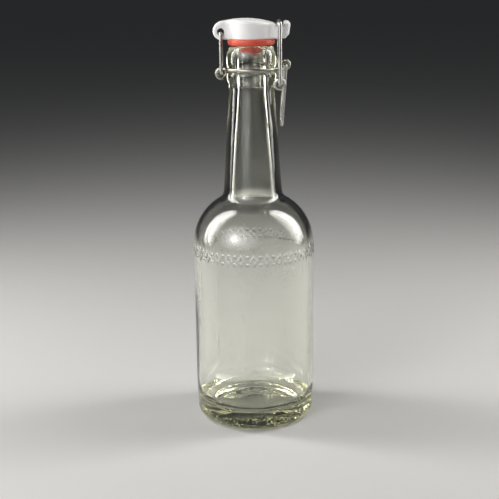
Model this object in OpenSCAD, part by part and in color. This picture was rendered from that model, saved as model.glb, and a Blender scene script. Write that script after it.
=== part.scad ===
// Side-lever swing-top bottle: glass bottle, neck wire, hinge link, porcelain head, rubber
// gasket, clamp bail and lever. Millimetres, +Z up, origin at the centre of the base.
// +X points to the lever, -X to the hinge link, -Y to the front.

/* [Bottle] */
// radius of the straight body
body_r = 33.75; // [31:0.25:37]
// height where the body turns into the shoulder
shoulder_z = 100.5; // [80:0.5:120]
// radius of the shoulder curve
shoulder_r = 29.5; // [24:0.5:33]
// angle where the shoulder meets the neck fillet
shoulder_a = 60; // [50:1:70]
// radius of the neck fillet
fillet_r = 5.5; // [3:0.5:9]
// radius of the neck just under the finish
neck_r = 12.35; // [11:0.05:14]
// height of the top of the lip
lip_z = 209.5; // [190:0.5:225]
// radius of the lip and finish
lip_r = 13.5; // [12.5:0.25:15]
// width of the rounding of the lip
lip_w = 3.2; // [2:0.1:4]
// height of the rounding of the lip
lip_h = 7; // [3:0.5:9]
// radius of the bore at the lip
bore_r = 7.3; // [6.5:0.1:8.5]
// wall of the body
wall = 2.85; // [2:0.05:4]
// rise of the push-up under the base
kick_h = 4.5; // [2:0.5:8]
// thickness of glass over the push-up
base_t = 7.1; // [4:0.1:10]

/* [Neck wire] */
// wire radius
collar_wr = 0.95; // [0.8:0.05:1.2]
// height of the groove that holds the wire
groove_z = 197.2; // [195:0.1:199]
// depth of the groove
groove_d = 0.9; // [0.5:0.05:1.2]
// left eye, distance from the axis
left_x = 16.1; // [15.6:0.1:18]
// left eye, height
left_z = 194.7; // [194:0.1:197]
// left eye, radius at the wire's centre line
left_er = 2.65; // [2.4:0.05:3.2]
// right eye, distance from the axis
right_x = 18.3; // [17.6:0.1:19.5]
// right eye, height
right_z = 199.1; // [198:0.1:200]
// right eye, radius at the wire's centre line
right_er = 2.1; // [1.95:0.05:2.6]

/* [Hinge link] */
// wire radius
link_wr = 0.95; // [0.8:0.05:1.2]
// half the distance between the two legs
link_hy = 5.2; // [5:0.1:6]
// height of the upper pivot, through the head
ear_z = 216.3; // [215:0.1:218]

/* [Head] */
// height of the underside of the barrel
head_z = 212.9; // [211:0.1:215]
// radius of the barrel
barrel_r = 11.5; // [10:0.25:13]
// height of the top of the dome
dome_z = 223.9; // [220:0.1:226]
// radius of the dome
dome_r = 50; // [40:1:70]
// half width of the left ear
ear_hy = 3.9; // [3:0.1:4]
// half width of the right ear
horn_hy = 6.2; // [4:0.1:7]
// radius of the hole in the left ear
hole_r = 1.6; // [1.3:0.05:1.9]

/* [Gasket] */
// radius of the disc
gasket_r = 12.8; // [11:0.1:14]
// gap between the gasket and the lip
seat_gap = 0.05; // [0.02:0.01:0.2]
// length of the cone below the lip
cone_h = 6.9; // [3:0.1:8]

/* [Clamp bail] */
// wire radius
bail_wr = 1.1; // [0.9:0.05:1.2]
// half the distance between the two legs
bail_hy = 10; // [9.9:0.1:11]
// height of the bar over the head
bar_z = 221.6; // [221:0.1:222]
// distance of the bar from the axis
bail_x = 15.2; // [15:0.1:15.6]

/* [Lever] */
// wire radius
lever_wr = 1.0; // [0.8:0.05:1.1]
// lean of the lever from vertical
lean = 4.1; // [2:0.1:6]
// length from the pivot to the finger bar
lever_l = 32; // [28:0.5:38]
// distance from the pivot down to the bail eye
eye_d = 9.95; // [9:0.05:11]
// bail eye, radius at the wire's centre line
eye_r = 2.35; // [2.2:0.05:2.6]
// half the distance between the legs at the pivot
lever_hy = 5.8; // [5:0.1:6.5]

/* [Hidden] */
$fn = 48;
shoulder_c = [body_r - shoulder_r, shoulder_z];
fillet_c = shoulder_c + (shoulder_r + fillet_r) * [cos(shoulder_a), sin(shoulder_a)];
ring_r = lip_r - groove_d + collar_wr + 0.1; // centre line of the wire in its groove
link_z = left_z + left_er - collar_wr - link_wr - 0.05; // the link pulls up against its eye
hole_z = ear_z + hole_r - link_wr - 0.05; // and down against the hole in the ear
gasket_z = lip_z + seat_gap;
notch_x0 = 13.75; // sides of the notch for the bar
notch_x1 = 16.9;
notch_z = 219.7;
ear_under = 213.2;
nose_r = 4;
nose_h = 1.8;
lobe = [-15.5, 217.4];
lobe_r = 4.9;
depart = 20; // angle where the neck wire leaves its groove
coil_p = 2 * lever_wr - 0.05; // pitch of the one-turn eye
bail_z = 189.34; // centre of the lever's eyes

// [r, z] points of an arc in the profile plane
function arc(c, r, a0, a1, n) =
    [for (i = [0:n]) c + r * [cos(a0 + (a1 - a0) * i / n), sin(a0 + (a1 - a0) * i / n)]];

function outer_profile() = concat(
    [for (i = [0:6]) [26.2 * i / 6, kick_h * (1 - pow(i / 6, 2)) + 0.25]],
    [[26.8, 0]],
    arc([27.2, 5.6], 5.6, -90, -2, 6),
    [[33.2, 11], [33.55, 18], [body_r, 26]],
    arc(shoulder_c, shoulder_r, 0, shoulder_a, 14),
    arc(fillet_c, fillet_r, 180 + shoulder_a, 184, 6),
    [[neck_r, 187], [neck_r + 0.05, 188.2], [neck_r + 0.3, 189.4], [13.05, 190.9]],
    [[lip_r, 192.4], [lip_r, 195.2]],
    [[lip_r - groove_d, groove_z - 1.1], [lip_r - groove_d, groove_z + 1.1]],
    [[lip_r, 199.2]],
    [for (a = [0:9:90]) [lip_r - lip_w * (1 - cos(a)), lip_z - lip_h * (1 - sin(a))]]
);

function inner_profile() = concat(
    arc([bore_r + 1.3, lip_z - 1.3], 1.3, 90, 180, 4),
    [[bore_r - 0.2, 200], [7, 190], [7.2, 184], [8.6, 168], [10.6, 150], [11.9, 137]],
    [[12.6, 131], [13, 128.6], [13.8, 126.6], [15.1, 124.9]],
    arc(shoulder_c, shoulder_r - wall, 62, 0, 10),
    arc([body_r - wall - 8.5, 17.5], 8.5, 0, -90, 6),
    [[12, kick_h + base_t - 1], [0, kick_h + base_t]]
);

// a round wire along Y
module bar_y(x, z, y0, y1, r) {
    translate([x, y1, z]) rotate([90, 0, 0]) cylinder(h = y1 - y0, r = r);
}

// a straight wire between two points
module rod(a, b, r) {
    d = b - a;
    translate(a)
        rotate([0, acos(d[2] / norm(d)), atan2(d[1], d[0])])
            cylinder(h = norm(d), r = r);
}

// a rounded corner between straight wires
module knuckle(p, r) {
    translate(p) sphere(r = r * 1.12);
}

// a wire ring about the Y direction
module eye(x, y, z, ring, r) {
    translate([x, y, z]) rotate([90, 0, 0]) rotate_extrude() translate([ring, 0]) circle(r = r);
}

// half a wire ring about the Y direction, open towards the bottle
module half_eye(x, z, ring, r, start) {
    translate([x, 0, z]) rotate([90, 0, 0]) rotate([0, 0, start])
        rotate_extrude(angle = 180) translate([ring, 0]) circle(r = r);
}

// a quarter bend in the YZ plane, bulging towards (+Y, +Z) and then turned by a
module bend(x, y, z, ring, r, a) {
    translate([x, y, z]) rotate([a, 0, 0]) rotate([0, 0, 90]) rotate([90, 0, 0])
        rotate_extrude(angle = 90) translate([ring, 0]) circle(r = r);
}

module bottle() {
    color([0.86, 0.9, 0.84, 0.35])
        rotate_extrude($fn = 96) polygon(concat(outer_profile(), inner_profile()));
}

module neck_collar() {
    // each thinner tail starts inside one end of the ring, and ends inside a half eye
    c = ring_r * [cos(depart + 3), sin(depart + 3)];
    t = collar_wr - 0.06;
    left_turn = [-14.4, 4.6, 194.2];
    right_turn = [15.3, 2.6, 200.4];
    color([0.7, 0.7, 0.68]) {
        for (s = [0, 180])
            translate([0, 0, groove_z]) rotate([0, 0, depart + s])
                rotate_extrude(angle = 180 - 2 * depart)
                    translate([ring_r, 0]) circle(r = collar_wr);
        half_eye(-left_x, left_z, left_er, collar_wr, 90);
        half_eye(right_x, right_z, right_er, collar_wr, -90);
        // front wire: over the left pivot, under the right one
        rod([-c[0], -c[1], groove_z], [-left_x - 0.3, -0.1, left_z + left_er], t);
        rod([c[0], -c[1], groove_z], [right_x + 0.3, -0.1, right_z - right_er], t);
        // back wire: under the left pivot, over the right one, and clear of the finish
        rod([-c[0], c[1], groove_z], left_turn, t);
        rod(left_turn, [-left_x - 0.3, 0.1, left_z - left_er], t);
        rod([c[0], c[1], groove_z], right_turn, t);
        rod(right_turn, [right_x + 0.3, 0.1, right_z + right_er], t);
        translate(left_turn) sphere(r = collar_wr);
        translate(right_turn) sphere(r = collar_wr);
    }
}

module hinge_link() {
    b = 1.6; // bend radius
    color([0.72, 0.72, 0.7]) {
        bar_y(-left_x, ear_z, b - link_hy, link_hy - b, link_wr);
        for (s = [-1, 1]) {
            rod([-left_x, s * link_hy, link_z + b], [-left_x, s * link_hy, ear_z - b], link_wr);
            bar_y(-left_x, link_z, s > 0 ? 0.3 : b - link_hy, s > 0 ? link_hy - b : -0.3, link_wr);
        }
        bend(-left_x, link_hy - b, ear_z - b, b, link_wr, 0);
        bend(-left_x, b - link_hy, ear_z - b, b, link_wr, 90);
        bend(-left_x, b - link_hy, link_z + b, b, link_wr, 180);
        bend(-left_x, link_hy - b, link_z + b, b, link_wr, 270);
    }
}

module stopper_head() {
    color([0.95, 0.95, 0.93])
    difference() {
        union() {
            // barrel and both ears under one dome
            intersection() {
                translate([-3.5, 0, dome_z - dome_r]) sphere(r = dome_r, $fn = 120);
                union() {
                    translate([0, 0, head_z]) cylinder(h = 14, r = barrel_r, $fn = 72);
                    translate([lobe[0], -ear_hy, head_z]) cube([15, 2 * ear_hy, 14]);
                    translate([0, -horn_hy, ear_under]) cube([notch_x0, 2 * horn_hy, 14]);
                }
            }
            // rounded end of the left ear
            bar_y(lobe[0], lobe[1], -ear_hy, ear_hy, lobe_r);
            // floor of the notch, and the horn that keeps the bar in
            translate([0, horn_hy, 0]) rotate([90, 0, 0]) linear_extrude(height = 2 * horn_hy)
                polygon([[10, ear_under], [18.3, ear_under], [19.6, 214.4], [20.5, 216.4],
                         [21, 219], [20.9, 221], [20.2, 222.3], [19.1, 222.8],
                         [17.9, 222.4], [17.1, 221.3], [notch_x1, notch_z],
                         [notch_x0, notch_z], [10, notch_z]]);
            // nose that the gasket is stretched over
            translate([0, 0, head_z - nose_h]) cylinder(h = nose_h + 1, r = nose_r);
        }
        bar_y(-left_x, hole_z, -ear_hy - 1, ear_hy + 1, hole_r);
        // flat underside of the left ear
        translate([-22, -6, head_z - 3]) cube([8, 12, 3]);
    }
}

module gasket() {
    color([0.85, 0.2, 0.12])
    difference() {
        rotate_extrude($fn = 72) polygon(concat(
            [[0, gasket_z - cone_h], [1, gasket_z - cone_h + 0.25]],
            [[3.6, gasket_z - 0.55 * cone_h], [6.3, gasket_z - 0.9], [6.5, gasket_z]],
            [[gasket_r - 0.6, gasket_z], [gasket_r, gasket_z + 0.6]],
            [[gasket_r, head_z - 0.5], [gasket_r - 0.5, head_z], [0, head_z]]
        ));
        translate([0, 0, head_z - nose_h - 0.05]) cylinder(h = nose_h + 1, r = nose_r + 0.03);
    }
}

module clamp_bail() {
    b = 2.2; // bend radius over the head
    e = 1.5; // bend radius at the lever
    color([0.74, 0.74, 0.72]) {
        bar_y(bail_x, bar_z, b - bail_hy, bail_hy - b, bail_wr);
        bend(bail_x, bail_hy - b, bar_z - b, b, bail_wr, 0);
        bend(bail_x, b - bail_hy, bar_z - b, b, bail_wr, 90);
        for (s = [-1, 1])
            rod([bail_x, s * bail_hy, bail_z + e], [bail_x, s * bail_hy, bar_z - b], bail_wr);
        bend(bail_x, e - bail_hy, bail_z + e, e, bail_wr, 180);
        bend(bail_x, bail_hy - e, bail_z + e, e, bail_wr, 270);
        bar_y(bail_x, bail_z, e - bail_hy, -4.9, bail_wr);
        bar_y(bail_x, bail_z, 4.9, bail_hy - e, bail_wr);
    }
}

module lever() {
    out = lever_hy + coil_p;
    color([0.72, 0.72, 0.7])
    translate([right_x, 0, right_z]) rotate([0, lean, 0]) {
        for (s = [-1, 1]) {
            // pin in the neck wire's right eye; the two ends butt together
            bar_y(0, 0, s > 0 ? 0.3 : -lever_hy, s > 0 ? lever_hy : -0.3, lever_wr);
            knuckle([0, s * lever_hy, 0], lever_wr);
            rod([0, s * lever_hy, 0], [0, s * lever_hy, -eye_d], lever_wr);
            // eye of one turn for the bail's end
            eye(-eye_r, s * lever_hy, -eye_d, eye_r, lever_wr);
            eye(-eye_r, s * out, -eye_d, eye_r, lever_wr);
            rod([0, s * out, -eye_d], [0, s * 5.4, -lever_l + 1.6], lever_wr);
            knuckle([0, s * 5.4, -lever_l + 1.6], lever_wr);
            rod([0, s * 5.4, -lever_l + 1.6], [0, s * 3.8, -lever_l], lever_wr);
            knuckle([0, s * 3.8, -lever_l], lever_wr);
        }
        bar_y(0, -lever_l, -3.8, 3.8, lever_wr);
    }
}

bottle();
neck_collar();
hinge_link();
stopper_head();
gasket();
clamp_bail();
lever();
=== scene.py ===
import math

import bpy
import numpy as np
from mathutils import Matrix


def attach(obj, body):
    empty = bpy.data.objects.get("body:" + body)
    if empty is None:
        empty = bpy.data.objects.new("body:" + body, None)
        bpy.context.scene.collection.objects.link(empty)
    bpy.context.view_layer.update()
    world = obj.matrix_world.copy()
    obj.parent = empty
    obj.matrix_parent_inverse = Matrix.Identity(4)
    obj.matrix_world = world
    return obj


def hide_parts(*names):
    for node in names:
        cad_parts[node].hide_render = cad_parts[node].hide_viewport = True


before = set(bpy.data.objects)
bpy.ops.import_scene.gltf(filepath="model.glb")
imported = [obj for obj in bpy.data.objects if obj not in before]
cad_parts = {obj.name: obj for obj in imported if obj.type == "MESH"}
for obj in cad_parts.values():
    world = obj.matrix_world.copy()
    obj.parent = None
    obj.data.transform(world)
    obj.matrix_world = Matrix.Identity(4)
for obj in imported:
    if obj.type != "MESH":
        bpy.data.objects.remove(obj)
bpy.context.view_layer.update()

# Shapes are written in millimetres: +Z up, +X to the lever, -Y to the front. Lamps are in metres.
MM = 0.001
rng = np.random.default_rng(7)


# ---------------------------------------------------------------- meshes
def make(name, verts, faces, body, nodes, material):
    """A piece from points in millimetres, riding on a body and standing for CAD nodes."""
    me = bpy.data.meshes.new(name)
    me.from_pydata((np.asarray(verts) * MM).tolist(), [], [list(map(int, f)) for f in faces])
    me.validate()
    ob = bpy.data.objects.new(name, me)
    bpy.context.scene.collection.objects.link(ob)
    me.polygons.foreach_set("use_smooth", [True] * len(me.polygons))
    me.materials.append(material)
    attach(ob, body)
    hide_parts(*nodes)
    return ob


def lathe(profile, n, offset):
    """Rings of n points round the axis, from a profile whose two ends lie on the axis.

    offset(i, th, z) gives ring i's shift outwards and upwards at each angle th.
    """
    profile = np.asarray(profile, float)
    th = np.arange(n) * 2 * np.pi / n
    r, z = profile[:, 0], profile[:, 1]
    on = r < 1e-6
    verts, rows = [], []
    for i in range(len(r)):
        if on[i]:
            rows.append([len(verts)] * n)
            verts.append([0, 0, z[i]])
        else:
            d = offset(i, th, z[i])
            out = r[i] + d[:, 0]
            rows.append(list(range(len(verts), len(verts) + n)))
            verts += np.stack([out * np.cos(th), out * np.sin(th), z[i] + d[:, 1]], 1).tolist()
    faces = []
    for a, b in zip(rows[:-1], rows[1:]):
        for j in range(n):
            k = (j + 1) % n
            f = [a[j], a[k], b[k], b[j]]
            f = [v for i, v in enumerate(f) if v != f[i - 1]]
            if len(f) > 2:
                faces.append(f)
    return verts, faces


def arc(c, r, a0, a1, n):
    """n steps of a circle round c in a profile, between two angles in degrees."""
    a = np.radians(np.linspace(a0, a1, n + 1))
    return np.stack([c[0] + r * np.cos(a), c[1] + r * np.sin(a)], 1).tolist()


def spread(points, step):
    """The same profile with a point at least every step, and gentle corners."""
    p = np.asarray(points, float)
    out = [p[0]]
    for a, b in zip(p[:-1], p[1:]):
        k = max(1, int(np.ceil(np.linalg.norm(b - a) / step)))
        out += [a + (b - a) * i / k for i in range(1, k + 1)]
    out = np.array(out)
    for _ in range(3):
        out[1:-1] = 0.25 * out[:-2] + 0.5 * out[1:-1] + 0.25 * out[2:]
    return out


def waves(th, z, table):
    """A smooth random swell from a few sine waves, the same on each run."""
    s = 0
    for n, k, phase, a in table:
        s = s + a * np.sin(n * th + k * z + phase)
    return s


def wave_table(count, nmax, kmax, amp):
    """Waves for waves(): times round, turn with height, phase and size."""
    return [(int(rng.integers(1, nmax)), rng.uniform(-kmax, kmax), rng.uniform(0, 6.28),
             amp * rng.uniform(0.4, 1) / math.sqrt(count)) for _ in range(count)]


STRAIGHT = 0.985  # cosine above which a corner counts as straight
MIN_STEP = 0.12  # shortest step kept along a wire
CHAMFER = 0.15  # length of the chamfer at a wire's cut end


def bent(points, d, closed=False):
    """A wire's centre line, with each sharp corner rounded over about d millimetres."""
    p = [np.asarray(q, float) for q in points]
    if closed:
        p = p + [p[0], p[1]]
    out = [p[0]]
    for a, v, b in zip(p[:-2], p[1:-1], p[2:]):
        u, w = v - a, b - v
        lu, lw = np.linalg.norm(u), np.linalg.norm(w)
        if np.dot(u, w) / (lu * lw) < STRAIGHT:
            out += [v - u / lu * min(d, 0.45 * lu), v, v + w / lw * min(d, 0.45 * lw)]
        else:
            out.append(v)
    out = np.array(out[1:] if closed else out + [p[-1]])
    for _ in range(3):
        if closed:
            out = np.concatenate([out, out[:1]])
        q = np.empty((2 * (len(out) - 1), 3))
        q[0::2] = 0.75 * out[:-1] + 0.25 * out[1:]
        q[1::2] = 0.25 * out[:-1] + 0.75 * out[1:]
        out = q if closed else np.concatenate([out[:1], q, out[-1:]])
    keep = [0]
    for i in range(1, len(out)):
        if np.linalg.norm(out[i] - out[keep[-1]]) > MIN_STEP:
            keep.append(i)
    return out[keep]


def tube(path, r, sides=18, closed=False):
    """A round wire swept along a path. An open one has its cut ends slightly chamfered."""
    p = np.asarray(path, float)
    t = np.roll(p, -1, axis=0) - np.roll(p, 1, axis=0) if closed else np.gradient(p, axis=0)
    t /= np.linalg.norm(t, axis=1)[:, None]
    u = np.cross(t[0], [0.3, 0.5, 0.8])
    u /= np.linalg.norm(u)
    rows = []
    for centre, tangent in zip(p, t):
        u = u - np.dot(u, tangent) * tangent
        u /= np.linalg.norm(u)
        rows.append([centre, u, np.cross(tangent, u), r, 0.0])
    if closed:
        # the twist left over after one round is shared out evenly
        u0, (_, u1, w1, _, _) = rows[0][1], rows[-1]
        turn = math.atan2(np.dot(u0, w1), np.dot(u0, u1))
        for i, row in enumerate(rows):
            row[4] = turn * i / (len(rows) - 1)
    else:
        first, last = [*rows[0][:3], 0.8 * r, 0.0], [*rows[-1][:3], 0.8 * r, 0.0]
        rows[0][0] = rows[0][0] + CHAMFER * t[0]
        rows[-1][0] = rows[-1][0] - CHAMFER * t[-1]
        rows = [first, *rows, last]
    return skin(rows, sides, closed)


def skin(rows, sides, closed):
    """The surface through rings of (centre, u, w, radius, start angle), capped unless closed."""
    a = np.arange(sides) * 2 * np.pi / sides
    verts, faces = [], []
    for c, u, w, r, start in rows:
        verts.extend((c + r * (np.cos(a + start)[:, None] * u + np.sin(a + start)[:, None] * w)).tolist())
    n = len(rows)
    for i in range(n if closed else n - 1):
        m = (i + 1) % n
        for j in range(sides):
            k = (j + 1) % sides
            faces.append([i * sides + j, i * sides + k, m * sides + k, m * sides + j])
    if not closed:
        faces.append(list(range(sides))[::-1])
        faces.append([(n - 1) * sides + j for j in range(sides)])
    return verts, faces


def nets(f, lo, hi, h):
    """A closed smooth mesh of the surface where f(x, y, z) is 0, on a grid of step h."""
    ax = [np.arange(a, b + h, h) for a, b in zip(lo, hi)]
    g = np.meshgrid(*ax, indexing="ij")
    F = f(*g)
    n = F.shape
    inside = F < 0
    cell = tuple(s - 1 for s in n)
    total, count = np.zeros(cell + (3,)), np.zeros(cell)
    corners = [(i, j, k) for i in (0, 1) for j in (0, 1) for k in (0, 1)]

    def at(A, c):
        return A[tuple(slice(o, o + s) for o, s in zip(c, cell))]

    for a in corners:
        for d in range(3):
            if a[d]:
                continue
            b = tuple(v + (i == d) for i, v in enumerate(a))
            fa, fb = at(F, a), at(F, b)
            hit = (fa < 0) != (fb < 0)
            t = np.where(hit, fa / np.where(fa == fb, 1, fa - fb), 0)
            for e in range(3):
                total[..., e] += np.where(hit, a[e] + (t if e == d else 0), 0)
            count += hit
    act = count > 0
    index = -np.ones(cell, int)
    index[act] = np.arange(act.sum())
    base = np.stack(np.nonzero(act), 1)
    verts = np.array(lo) + h * (base + total[act] / count[act][:, None])
    faces = []
    for d in range(3):
        e1, e2 = [(1, 2), (2, 0), (0, 1)][d]
        sl = [slice(0, s) for s in n]
        s0, s1 = list(sl), list(sl)
        s0[d], s1[d] = slice(0, n[d] - 1), slice(1, n[d])
        hit = inside[tuple(s0)] != inside[tuple(s1)]
        ids = np.stack(np.nonzero(hit), 1)
        ids = ids[(ids[:, e1] > 0) & (ids[:, e1] < n[e1] - 1)]
        ids = ids[(ids[:, e2] > 0) & (ids[:, e2] < n[e2] - 1)]
        out = inside[tuple(ids.T)]
        q = []
        for o1, o2 in ((-1, -1), (0, -1), (0, 0), (-1, 0)):
            c = ids.copy()
            c[:, e1] += o1
            c[:, e2] += o2
            q.append(index[tuple(c.T)])
        q = np.stack(q, 1)
        q[~out] = q[~out][:, ::-1]
        faces.append(q)
    return verts, np.concatenate(faces)


# ------------------------------------------------------------- materials
class Nodes:
    """Short words for building a material's node tree."""

    def __init__(self, name):
        self.mat = bpy.data.materials.new(name)
        self.mat.use_nodes = True
        self.t = self.mat.node_tree
        self.t.nodes.clear()
        self.out = self.t.nodes.new("ShaderNodeOutputMaterial")
        self.coord = self.t.nodes.new("ShaderNodeTexCoord").outputs["Object"]

    def new(self, kind, inputs=(), **props):
        n = self.t.nodes.new(kind)
        for k, v in props.items():
            setattr(n, k, v)
        for k, v in dict(inputs).items():
            s = n.inputs[k]
            if isinstance(v, bpy.types.NodeSocket):
                self.t.links.new(v, s)
            else:
                s.default_value = v
        return n

    def link(self, a, b):
        self.t.links.new(a, b)

    def noise(self, scale, detail=3, rough=0.5, stretch=None):
        v = self.coord
        if stretch:
            v = self.new("ShaderNodeMapping", {"Vector": v, "Scale": stretch}).outputs[0]
        return self.new("ShaderNodeTexNoise", {"Vector": v, "Scale": scale, "Detail": detail,
                                               "Roughness": rough}).outputs[0]

    def ramp(self, fac, stops):
        r = self.t.nodes.new("ShaderNodeValToRGB")
        e = r.color_ramp.elements
        for i, (p, c) in enumerate(stops):
            x = e[i] if i < 2 else e.new(p)
            x.position = p
            x.color = (*c, 1) if hasattr(c, "__len__") else (c, c, c, 1)
        self.link(fac, r.inputs[0])
        return r.outputs[0]

    def math(self, op, a, b=None):
        n = self.t.nodes.new("ShaderNodeMath")
        n.operation = op
        for i, v in enumerate((a, b)):
            if v is None:
                continue
            if isinstance(v, bpy.types.NodeSocket):
                self.link(v, n.inputs[i])
            else:
                n.inputs[i].default_value = v
        return n.outputs[0]

    def between(self, value, low, high):
        """0 at low and 1 at high, clamped."""
        return self.new("ShaderNodeMapRange", {"Value": value, "From Min": low,
                                               "From Max": high}).outputs[0]

    def mix(self, fac, a, colour):
        """The socket a, mixed with a plain colour by fac."""
        n = self.t.nodes.new("ShaderNodeMixRGB")
        self.link(fac, n.inputs[0])
        self.link(a, n.inputs[1])
        n.inputs[2].default_value = colour
        return n.outputs[0]

    def bump(self, height, strength, distance):
        return self.new("ShaderNodeBump", {"Height": height, "Strength": strength,
                                           "Distance": distance}).outputs[0]


def glass_material():
    """Clear glass with a green-yellow tint in its depth, worn white where bottles rub."""
    m = Nodes("clear_glass")
    fine = m.noise(420, 2)
    broad = m.noise(38, 4, 0.6)
    rough = m.ramp(broad, [(0.35, 0.012), (0.8, 0.05)])
    glass = m.new("ShaderNodeBsdfPrincipled", {
        "Base Color": (0.985, 0.99, 0.975, 1), "Roughness": rough, "IOR": 1.52,
        "Transmission Weight": 1.0,
        "Normal": m.bump(fine, 0.05, 0.0002)})
    # rubbed patches, where bottles touched each other, and long scratches
    z = m.new("ShaderNodeSeparateXYZ", {0: m.coord}).outputs["Z"]
    band = m.math("MULTIPLY", m.between(z, 0.076, 0.09), m.between(z, 0.108, 0.098))
    heel = m.between(z, 0.022, 0.010)
    base = m.new("ShaderNodeMapRange", {"Value": z, "From Min": 0.10, "From Max": 0.14,
                                        "To Min": 0.16, "To Max": 0.03}).outputs[0]
    zone = m.math("MAXIMUM", m.math("MAXIMUM", band, m.math("MULTIPLY", heel, 0.7)), base)
    specks = m.ramp(m.noise(900, 2, 0.7), [(0.56, 0.0), (0.66, 1.0)])
    patch = m.ramp(m.noise(55, 3, 0.6), [(0.5, 0.0), (0.66, 1.0)])
    lines = m.ramp(m.noise(260, 1, 0.3, (1.0, 1.0, 0.05)), [(0.68, 0.0), (0.72, 1.0)])
    scratches = m.math("MULTIPLY", lines, m.ramp(m.noise(70, 2), [(0.5, 0.0), (0.62, 1.0)]))
    wear = m.math("MULTIPLY", m.math("MULTIPLY", specks, patch), zone)
    wear = m.math("MAXIMUM", wear, m.math("MULTIPLY", scratches, 0.35))
    rubbed = m.new("ShaderNodeAttribute", attribute_name="rubbed").outputs["Fac"]
    patchy = m.ramp(m.noise(140, 3, 0.7), [(0.35, 0.25), (0.6, 1.0)])
    wear = m.math("MAXIMUM", wear, m.math("MULTIPLY", rubbed, patchy))
    wear = m.math("MULTIPLY", wear, 0.5)
    frost = m.new("ShaderNodeBsdfPrincipled", {"Base Color": (0.86, 0.87, 0.85, 1), "Roughness": 0.6})
    mix = m.new("ShaderNodeMixShader", {0: wear, 1: glass.outputs[0], 2: frost.outputs[0]})
    m.link(mix.outputs[0], m.out.inputs["Surface"])
    tint = m.new("ShaderNodeVolumeAbsorption", {"Color": (0.90, 0.90, 0.50, 1), "Density": 24.0})
    m.link(tint.outputs[0], m.out.inputs["Volume"])
    return m.mat


def porcelain_material():
    """White glaze, a little uneven, with pits, and with painted shade: grey spots on top round the notch
    where the wire sits.
    """
    m = Nodes("porcelain")
    grey = m.ramp(m.noise(60, 4, 0.6), [(0.3, (0.70, 0.695, 0.68)), (0.6, (0.77, 0.77, 0.76))])
    # painted shade: dark grey spots on top of the head round the notch and the wire lying in it
    place = m.new("ShaderNodeSeparateXYZ", {0: m.coord})
    inner = m.between(place.outputs["X"], 0.0118, 0.0145)
    outer = m.between(place.outputs["X"], 0.0195, 0.0165)
    above = m.between(place.outputs["Z"], 0.2175, 0.2205)
    notch_shade_spots = m.ramp(m.noise(700, 3, 0.7, (1, 0.35, 1)), [(0.5, 0.0), (0.64, 1.0)])
    notch_shade = m.math("MULTIPLY", m.math("MULTIPLY", m.math("MULTIPLY", inner, outer), above), notch_shade_spots)
    colour = m.mix(m.math("MULTIPLY", notch_shade, 0.6), grey, (0.33, 0.33, 0.33, 1))
    pits = m.ramp(m.noise(1500, 2, 0.6), [(0.70, 1.0), (0.78, 0.0)])
    b = m.bump(m.noise(160, 3, 0.5), 0.12, 0.0006)
    bump = m.new("ShaderNodeBump", {"Height": pits, "Strength": 0.15, "Distance": 0.0001, "Normal": b})
    p = m.new("ShaderNodeBsdfPrincipled", {
        "Base Color": colour, "Roughness": 0.38, "Specular IOR Level": 0.3, "Coat Weight": 0.12,
        "Coat Roughness": 0.12, "Subsurface Weight": 0.08, "Subsurface Radius": (0.002, 0.002, 0.0016),
        "Normal": bump.outputs[0]})
    m.link(p.outputs[0], m.out.inputs["Surface"])
    return m.mat


def rubber_material():
    """Orange-red rubber, blotched and slightly dusty."""
    m = Nodes("red_rubber")
    col = m.ramp(m.noise(240, 4, 0.65), [(0.3, (0.53, 0.055, 0.028)), (0.7, (0.69, 0.100, 0.050))])
    b = m.bump(m.noise(2400, 3, 0.6), 0.35, 0.0001)
    p = m.new("ShaderNodeBsdfPrincipled", {
        "Base Color": col, "Roughness": m.ramp(m.noise(300, 3), [(0.3, 0.38), (0.7, 0.55)]),
        "Subsurface Weight": 0.12, "Subsurface Radius": (0.003, 0.0008, 0.0004), "Normal": b})
    m.link(p.outputs[0], m.out.inputs["Surface"])
    return m.mat


def wire_material(name, a, b):
    """Dull zinc-coated wire, stained between colours a and b, with a few brown spots."""
    m = Nodes(name)
    stain = m.ramp(m.noise(110, 3, 0.6), [(0.36, a), (0.64, b)])
    rust = m.ramp(m.noise(260, 3, 0.6), [(0.68, 0.0), (0.80, 1.0)])
    colour = m.mix(m.math("MULTIPLY", rust, 0.7), stain, (0.16, 0.10, 0.06, 1))
    rough = m.math("MAXIMUM", m.ramp(m.noise(260, 3), [(0.3, 0.22), (0.7, 0.42)]),
                   m.math("MULTIPLY", rust, 0.7))
    p = m.new("ShaderNodeBsdfPrincipled", {
        "Base Color": colour, "Metallic": 1.0, "Roughness": rough,
        "Normal": m.bump(m.noise(500, 3, 0.55), 0.12, 0.00006)})
    m.link(p.outputs[0], m.out.inputs["Surface"])
    return m.mat


# ---------------------------------------------------------------- bottle
# the shoulder's arc (centre, radius, angle where it ends) and the fillet that leads to the neck
SH_C, SH_R, SH_A = (4.25, 100.5), 29.5, 60
FILLET_R = 5.5
FI_C = tuple(c + (SH_R + FILLET_R) * f(math.radians(SH_A)) for c, f in zip(SH_C, (math.cos, math.sin)))
BODY_R, LIP_Z, BORE, WALL, MOUTH_R = 33.72, 209.5, 7.3, 2.85, 2.4
# the lip is a quarter ellipse: the radius and height of its centre, and its two half axes
LIP_C, LIP_AXES = (10.3, 202.5), (3.18, 6.98)

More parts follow.
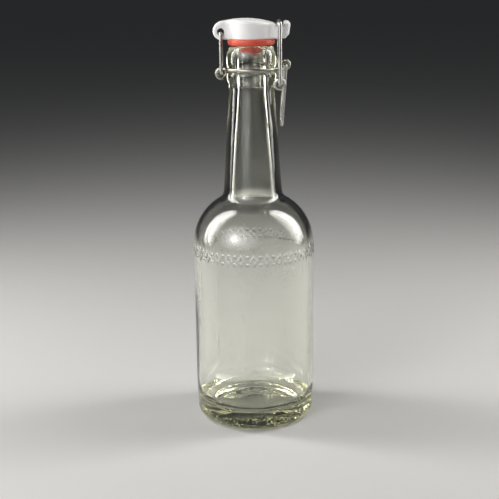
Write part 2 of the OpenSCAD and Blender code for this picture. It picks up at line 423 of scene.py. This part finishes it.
outer = ([[26.2 * i / 8, 4.5 * (1 - (i / 8) ** 2) + 0.25] for i in range(9)]
         + [[26.9, 0.02]] + arc((27.2, 5.6), 5.6, -86, -2, 12)
         + [[33.2, 11], [33.55, 18], [BODY_R, 26], [BODY_R, SH_C[1]]]
         + arc(SH_C, SH_R - 0.03, 0, SH_A, 24) + arc(FI_C, FILLET_R, 180 + SH_A, 184, 12)
         + [[12.35, 187], [12.4, 188.2], [12.65, 189.4], [13.05, 190.9], [13.48, 192.4],
            [13.48, 195.2], [12.6, 196.1], [12.6, 198.2], [13.4, 198.7]]
         + [[LIP_C[0] + LIP_AXES[0] * math.cos(a), LIP_C[1] + LIP_AXES[1] * math.sin(a)]
            for a in np.radians(range(0, 91, 9))])
inner = (arc((BORE + MOUTH_R, LIP_Z - MOUTH_R - 0.02), MOUTH_R, 90, 180, 9)
         + [[7.1, 200], [7, 190], [7.2, 184], [8.6, 168], [10.6, 150], [11.9, 137], [12.6, 131],
            [13, 128.6], [13.8, 126.6], [15.1, 124.9]]
         + arc(SH_C, SH_R - WALL, 62, 0, 18) + [[30.9, 60]]
         + arc((22.4, 17.5), 8.5, 0, -90, 12) + [[12, 10.6], [0, 11.6]])
outer, inner = spread(outer, 0.85), spread(inner, 1.3)
# closer rings where the relief is, found above the first points, which are under the base
RELIEF_Z, RELIEF_R, RELIEF_COUNT, RELIEF_H = 98.6, 33.7, 30, 0.30
BASE = 20
from_ring, to_ring = (np.searchsorted(outer[BASE:, 1], RELIEF_Z + dz) + BASE for dz in (-5, 5))
outer = np.concatenate([outer[:from_ring], spread(outer[from_ring:to_ring], 0.34), outer[to_ring:]])
outer[0, 0] = inner[-1, 0] = 0
profile = np.concatenate([outer, inner])
N_SEG = 480
HEEL_NUBS, SEAM_AT, SEAM_HALF = 80, 0.25, 0.012
swell_out = wave_table(9, 6, 0.10, 0.06)
swell_in = wave_table(14, 9, 0.05, 0.22)
rough_in = wave_table(16, 15, 0.5, 0.35)
rough_out = wave_table(16, 44, 1.2, 0.16)


def relief(th, z):
    """A plain ring of lozenges and beads, raised on the upper body."""
    pitch = 2 * np.pi * RELIEF_R / RELIEF_COUNT
    dx = np.abs((th * RELIEF_COUNT / (2 * np.pi)) % 1 - 0.5) * pitch
    dz = abs(z - RELIEF_Z)
    lozenge = np.clip(1.15 - dx / 2.1 - dz / 3.4, 0, 0.3) / 0.3
    hollow = np.clip(1.0 - dx / 1.1 - dz / 1.9, 0, 0.3) / 0.3
    bead = np.clip(1.0 - np.hypot(pitch / 2 - dx, dz - 2.1) / 0.95, 0, 0.5) / 0.5
    return np.clip(lozenge - hollow + bead, 0, 1)


raised = {}


def shape(i, th, z):
    """How far each point of ring i lies off the plain profile, outwards and upwards."""
    d = np.zeros((len(th), 2))
    r = profile[i, 0]
    if i < len(outer):
        fade = np.clip((r - 20) / 8, 0, 1) if z < 10 else 1.0
        d[:, 0] += fade * waves(th, z, swell_out) * (0.35 if z > 188 else 1) - 0.1 * fade * (z > 8)
        if abs(z - RELIEF_Z) < 6:
            raised[i] = relief(th, z)
            d[:, 0] += RELIEF_H * raised[i]
        if z < 12 and r > 24:
            d[:, 0] += waves(th, z, rough_out) * min(1, (12 - z) / 5) - 0.1
        if 0.8 < z < 6 and r > 27:
            d[:, 0] += 0.28 * np.clip(np.sin(th * HEEL_NUBS + (z > 3.4) * 3.14) - 0.1, 0, 1)
        if z > 8:
            seam = [np.abs(th - side * np.pi / 2 - SEAM_AT) for side in (1, 3)]
            d[:, 0] += 0.11 * (np.minimum(*seam) < SEAM_HALF)
    else:
        uneven = 1.0 if 20 < z < 120 else 0.55 if z < 190 else 0.15
        fade = np.clip(r / 14, 0, 1)
        d[:, 0] += uneven * fade * (waves(th, z, swell_in) - 0.05)
        if z < 24:
            depth = (24 - z) / 10 * min(1, r / 16)
            d[:, 0] += 0.3 * depth * (waves(th, z, rough_in) - 0.3)
            d[:, 1] += 0.2 * depth * waves(th, r, rough_in)
    return d


verts, faces = lathe(profile, N_SEG, shape)
bottle = make("bottle_glass", verts, faces, "bottle", ["bottle"], glass_material())
# the relief's slopes are rubbed white
rub = np.zeros(len(bottle.data.vertices))
for i, h in raised.items():
    start = 1 + (i - 1) * N_SEG
    rub[start:start + N_SEG] = 4 * h * (1 - h)
bottle.data.attributes.new("rubbed", "FLOAT", "POINT").data.foreach_set("value", rub)

# ----------------------------------------------------------------- wires
NECK = wire_material("neck_wire", (0.27, 0.262, 0.215), (0.42, 0.41, 0.355))
WIRE = wire_material("bail_wire", (0.34, 0.335, 0.31), (0.53, 0.525, 0.50))


def coil(cx, cz, r, a0, a1, y0, y1, n=40):
    """Points round an eye whose axis is Y, from angle a0 to a1 in degrees, drifting in Y."""
    a = np.radians(np.linspace(a0, a1, n))
    return np.stack([cx + r * np.cos(a), np.linspace(y0, y1, n), cz + r * np.sin(a)], 1).tolist()


RING_R, RING_Z = 13.65, 197.2


def ring(a0, a1, n=60):
    """Points of the neck wire in the groove, between two angles in degrees."""
    a = np.radians(np.linspace(a0, a1, n))
    return np.stack([RING_R * np.cos(a), RING_R * np.sin(a), np.full(n, RING_Z)], 1).tolist()


# the neck wire's left and right eyes: place and radius of the half turn
LX, LZ, LR = -16.1, 194.7, 2.65
RX, RZ, RR = 18.3, 199.1, 2.1
front, back = ring(-24, -156), ring(156, 24)
collar = (front + coil(LX, LZ, LR, 90, 270, -0.35, 0.35, 24)
          + [[-15.5, 2.6, 192.9], [-14.3, 4.7, 194.4]]
          + back + [[15.6, 3.0, 200.2]] + coil(RX, RZ, RR, 90, -90, 0.3, -0.3, 24))
v, f = tube(bent(collar, 0.9, closed=True), 0.95, closed=True)
make("neck_wire_ring", v, f, "bottle", ["neck_collar"], NECK)

# the link: height of the head's hole, height of its hooks, half width
HZ, EZ, HY = 216.3, 195.4, 5.2
link = [[LX, -0.25, EZ], [LX, -HY, EZ], [LX, -HY, EZ + 6], [LX - 0.06, -HY, EZ + 13],
        [LX, -HY, HZ], [LX, HY, HZ], [LX - 0.05, HY, EZ + 12], [LX, HY, EZ + 6],
        [LX, HY, EZ], [LX, 0.25, EZ]]
v, f = tube(bent(link, 1.9), 0.94)
make("hinge_wire", v, f, "link", ["hinge_link"], WIRE)

# the bail: X, height of its ends in the lever's eyes, height of its bar, half width
BX, BZ, CZ, BY = 15.2, 189.34, 221.6, 10.0
bail = [[BX, -4.95, BZ], [BX, -BY, BZ], [BX, -BY, BZ + 7], [BX - 0.05, -BY, BZ + 18],
        [BX, -BY, CZ], [BX, BY, CZ], [BX + 0.04, BY, BZ + 17], [BX, BY, BZ + 7],
        [BX, BY, BZ], [BX, 4.95, BZ]]
v, f = tube(bent(bail, 2.3), 1.09)
make("bail_wire_bridge", v, f, "bail", ["clamp_bail"], WIRE)

# the lever, from its pivot: depth and radius of the eyes, half width above and below them, lean
D, ER, PY, OY = 9.95, 2.5, 5.9, 7.85
LEAN = math.radians(4.1)
half = ([[0, -0.3, 0], [0, -PY, 0], [0, -PY, -D + 2.5]]
        + coil(-ER, -D, ER, 0, -360, -PY, -OY, 44)
        + [[0.0, -OY + 0.2, -D - 3.5], [0, -5.5, -30.2], [0, -3.9, -31.95]])
lever = half + [[x, -y, z] for x, y, z in half[::-1]]
lever = [[RX + x * math.cos(LEAN) + z * math.sin(LEAN), y, RZ - x * math.sin(LEAN) + z * math.cos(LEAN)]
         for x, y, z in lever]
v, f = tube(bent(lever, 1.6), 0.99)
make("lever_wire", v, f, "lever", ["lever"], WIRE)


# ------------------------------------------------------ head and gasket
def union(a, b, k):
    """Union with a soft fillet of size k."""
    h = np.clip(0.5 + 0.5 * (b - a) / k, 0, 1)
    return b * (1 - h) + a * h - k * h * (1 - h)


def common(a, b, k):
    """Intersection with a rounded edge of size k."""
    return -union(-a, -b, k)


def rounded(a, b, r):
    """The corner where two distances a and b meet, rounded by r."""
    return np.hypot(np.maximum(a, 0), np.maximum(b, 0)) + np.minimum(np.maximum(a, b), 0) - r


def box(u, v, cu, cv, hu, hv, r):
    """A flat rectangle round (cu, cv), with half sides hu and hv."""
    return rounded(np.abs(u - cu) - hu + r, np.abs(v - cv) - hv + r, r)


def slab(flat, y, hy, r):
    """A flat shape, made into a slab of half width hy across Y, with edges rounded by r."""
    return rounded(flat + r, np.abs(y) - hy + r, r)


def segment(u, v, a, b, r):
    """A flat bar of radius r from a to b."""
    d = np.array(b) - np.array(a)
    t = np.clip(((u - a[0]) * d[0] + (v - a[1]) * d[1]) / (d @ d), 0, 1)
    return np.hypot(u - a[0] - t * d[0], v - a[1] - t * d[1]) - r


HEAD_Z, UNDERSIDE, GRID = 219.4, 212.93, 0.3  # middle of the head, its flat underside, mesh step
EAR_HY, FOOT_HY = 3.85, 6.15  # half widths of the left ear and of the right one


def head(x, y, z):
    """Distance to the porcelain: a domed barrel, an ear on each side, a notch, a horn and a hole."""
    dome = np.sqrt((x + 3.5) ** 2 + y ** 2 + (z - 173.9) ** 2) - 50
    barrel = box(np.hypot(x, y), z, 0, HEAD_Z, 11.45, 6.5, 0.7)
    left = slab(box(x, z, -8, HEAD_Z, 9.5, 6.4, 0.6), y, EAR_HY, 1.1)
    right = slab(box(x, z, 7, HEAD_Z, 6.75, 6.15, 0.5), y, FOOT_HY, 1.1)
    body = common(union(union(barrel, left, 4.0), right, 1.8), dome, 1.6)
    lobe = slab(np.hypot(x + 15.5, z - 217.4) - 4.85, y, EAR_HY, 1.3)
    foot = slab(box(x, z, 14, 216.45, 4.6, 3.22, 0.8), y, FOOT_HY, 1.1)
    horn = slab(segment(x, z, (18.3, 216.2), (18.95, 220.3), 2.02), y, 6.1, 1.9)
    s = union(union(body, lobe, 0.9), union(foot, horn, 0.9), 0.6)
    notch = segment(x, z, (15.33, 221.35), (15.33, 230), 1.55)
    hole = np.hypot(x - LX, z - 216.95) - 1.8 - 0.5 * np.clip(np.abs(y) - 3.2, 0, 1) ** 2
    s = common(common(s, -notch, 0.5), -hole, 0.25)
    return np.maximum(s, UNDERSIDE - z)


v, f = nets(head, (-21.4, -12.4, 212.0), (22.0, 12.4, 225.0), GRID)
make("porcelain_head", v, f, "head", ["stopper_head"], porcelain_material())

gasket = spread([[0, 203.0], [0.8, 203.05], [1.8, 203.4], [4.2, 204.4], [6.3, 205.1], [6.95, 205.4],
                 [7.05, 206.2], [7.1, 207.2], [7.3, 207.9], [7.75, 208.75], [8.5, 209.3], [9.4, 209.54],
                 [10.4, 209.58], [11.5, 209.62], [12.3, 210.1], [12.77, 211.2], [12.76, 212.2],
                 [12.6, 212.75], [12.2, 212.92], [11.0, 212.95], [0, 212.95]], 0.25)
gasket[0, 0] = gasket[-1, 0] = 0


def dents(i, th, z):
    """The disc's rim is a little out of round."""
    return np.stack([0.05 * np.sin(5 * th + 1) * (gasket[i, 0] > 8) - 0.03, np.zeros(len(th))], 1)


v, f = lathe(gasket, 128, dents)
v = np.array(v)
v[:, 0] += 1.5 * np.clip((205.6 - v[:, 2]) / 2.4, 0, 1)  # the plug's tip leans to the right
make("rubber_gasket", v, f, "head", ["gasket"], rubber_material())

# ------------------------------------------------- floor, lights, camera
bpy.ops.mesh.primitive_plane_add(size=24, location=(0, 4, 0))
floor = bpy.context.object
floor.name = "floor"
paint = Nodes("floor")
pale = paint.new("ShaderNodeBsdfPrincipled", {"Base Color": (0.47, 0.47, 0.46, 1), "Roughness": 0.6})
paint.link(pale.outputs[0], paint.out.inputs["Surface"])
floor.data.materials.append(paint.mat)

world = bpy.data.worlds.new("world")
bpy.context.scene.world = world
world.use_nodes = True
tree = world.node_tree
sky = tree.nodes["Background"]
sky.inputs[0].default_value = (0.80, 0.83, 0.88, 1)
# dim at the horizon, so that the far end of the floor meets it without an edge
direction = tree.nodes.new("ShaderNodeSeparateXYZ")
strength = tree.nodes.new("ShaderNodeMapRange")
for socket, value in (("From Min", 0.0), ("From Max", 0.4), ("To Min", 0.0254), ("To Max", 0.045)):
    strength.inputs[socket].default_value = value
tree.links.new(tree.nodes.new("ShaderNodeTexCoord").outputs["Generated"], direction.inputs[0])
tree.links.new(direction.outputs["Z"], strength.inputs["Value"])
tree.links.new(strength.outputs[0], sky.inputs[1])

AIM_HEIGHT = 0.12
WARM, COOL = (1, 0.985, 0.96), (1, 0.985, 1)


def softbox(name, azimuth, elevation, distance, size, watts, colour):
    """A soft oval lamp. Azimuth 0 is in front of the bottle, and 90 to its right."""
    a, e = math.radians(azimuth), math.radians(elevation)
    back = np.array([math.sin(a) * math.cos(e), -math.cos(a) * math.cos(e), math.sin(e)])
    d = bpy.data.lights.new(name, "AREA")
    d.shape, d.size, d.size_y, d.energy, d.color = "ELLIPSE", *size, watts, colour
    o = bpy.data.objects.new(name, d)
    bpy.context.scene.collection.objects.link(o)
    o.visible_camera = False
    o.location = back * distance + [0, 0, AIM_HEIGHT]
    o.rotation_euler = (math.pi / 2 - e, 0, a)


# Each soft lamp is a nest of ovals, so that its reflection in the glass fades towards the edge.
SIDE = [(0.26, 1.7, 1.9), (0.17, 1.15, 1.1), (0.08, 0.9, 0.8)]  # width, watts left, watts right
FRONT = [(1.60, 0.94, 2.9), (1.15, 0.76, 1.9), (0.70, 0.54, 1.35), (0.40, 0.34, 1.00),
         (0.18, 0.17, 0.60)]  # width, height, watts
for k, (width, left_watts, right_watts) in enumerate(SIDE):
    size = (width, 0.82 - 0.06 * k)
    softbox(f"left_box_{k}", -99 - 3 * k, 31, 0.55, size, left_watts, WARM)
    softbox(f"right_box_{k}", 95 + 6 * k, 31, 0.55, size, right_watts, WARM)
for k, (width, height, watts) in enumerate(FRONT):
    softbox(f"front_box_{k}", -34 - k, 24 - 0.8 * k, 0.95 - 0.01 * k, (width, height), watts, COOL)

bpy.context.scene.view_settings.view_transform = "Standard"

CAMERA_AT, CAMERA_PITCH, CAMERA_ROLL = (-0.002318, -0.5915, 0.2510), 75.355, -0.77
cam = bpy.data.cameras.new("camera")
cam.lens, cam.sensor_width = 78.46, 36
camera = bpy.data.objects.new("camera", cam)
bpy.context.scene.collection.objects.link(camera)
camera.matrix_world = (Matrix.Translation(CAMERA_AT)
                       @ Matrix.Rotation(math.radians(CAMERA_PITCH), 4, "X")
                       @ Matrix.Rotation(math.radians(CAMERA_ROLL), 4, "Z"))
bpy.context.scene.camera = camera
